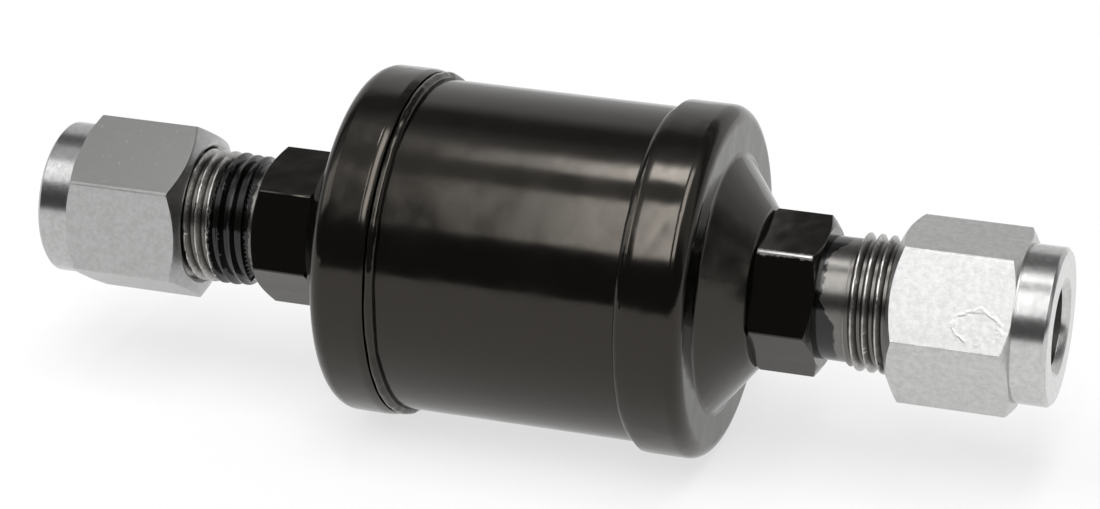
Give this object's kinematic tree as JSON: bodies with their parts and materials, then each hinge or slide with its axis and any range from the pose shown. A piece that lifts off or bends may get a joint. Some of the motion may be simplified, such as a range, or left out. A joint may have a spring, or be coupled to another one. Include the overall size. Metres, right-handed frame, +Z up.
{
  "type": "filter drier",
  "caption": "Inline steel filter drier: a black cylindrical shell with lapped end caps and a male flare fitting with a hexagonal flare nut at each end.",
  "frame": {"origin": "on the axis, midway between the two end caps", "axes": "+X along the axis from the inlet to the outlet, +Z up"},
  "size_m": [0.1223, 0.0412, 0.0412],
  "materials": {
    "body_enamel": "gloss black enamel over steel",
    "fitting_steel": "turned plated steel, hexagon overpainted black",
    "plated_nut": "bright zinc plating, satin flats and turned collar",
    "tinned_copper": "pressed copper, tinned",
    "braze_filler": "as brazed",
    "desiccant": "moulded molecular sieve, matt",
    "felt": "needled felt",
    "screen_steel": "plain steel",
    "spring_steel": "drawn wire"
  },
  "bodies": {
    "body": {"shell": "body_enamel", "inlet_end_cap": "body_enamel", "outlet_end_cap": "body_enamel", "inlet_lap_weld": "body_enamel", "outlet_lap_weld": "body_enamel", "inlet_fitting": "fitting_steel", "outlet_fitting": "fitting_steel", "inlet_fitting_braze": "braze_filler", "outlet_fitting_braze": "braze_filler", "desiccant_core": "desiccant", "core_seal_ring": "felt", "filter_pad": "felt", "outlet_screen": "screen_steel", "support_plate": "screen_steel", "spring_plate": "screen_steel", "core_spring": "spring_steel"},
    "inlet_seal": {"inlet_seal_bonnet": "tinned_copper"},
    "inlet_nut_body": {"inlet_nut": "plated_nut"},
    "outlet_seal": {"outlet_seal_bonnet": "tinned_copper"},
    "outlet_nut_body": {"outlet_nut": "plated_nut"}
  },
  "joints": [
    {"name": "inlet_nut_travel", "type": "slide", "parent": "body", "child": "inlet_seal", "axis": [-1, 0, 0], "range_m": [-0.00234, 0.00671]},
    {"name": "inlet_nut_turn", "type": "hinge", "parent": "inlet_seal", "child": "inlet_nut_body", "pos_m": [-0.04296, 0, 0], "axis": [-1, 0, 0], "range_deg": [-594, 1710]},
    {"name": "outlet_nut_travel", "type": "slide", "parent": "body", "child": "outlet_seal", "axis": [1, 0, 0], "range_m": [-0.00184, 0.00722]},
    {"name": "outlet_nut_turn", "type": "hinge", "parent": "outlet_seal", "child": "outlet_nut_body", "pos_m": [0.04247, 0, 0], "axis": [1, 0, 0], "range_deg": [-468, 1840]}
  ],
  "couplings": [
    {"joint": "inlet_nut_travel", "follows": "inlet_nut_turn", "m_per_rad": 0.00022459},
    {"joint": "outlet_nut_travel", "follows": "outlet_nut_turn", "m_per_rad": 0.00022459}
  ]
}
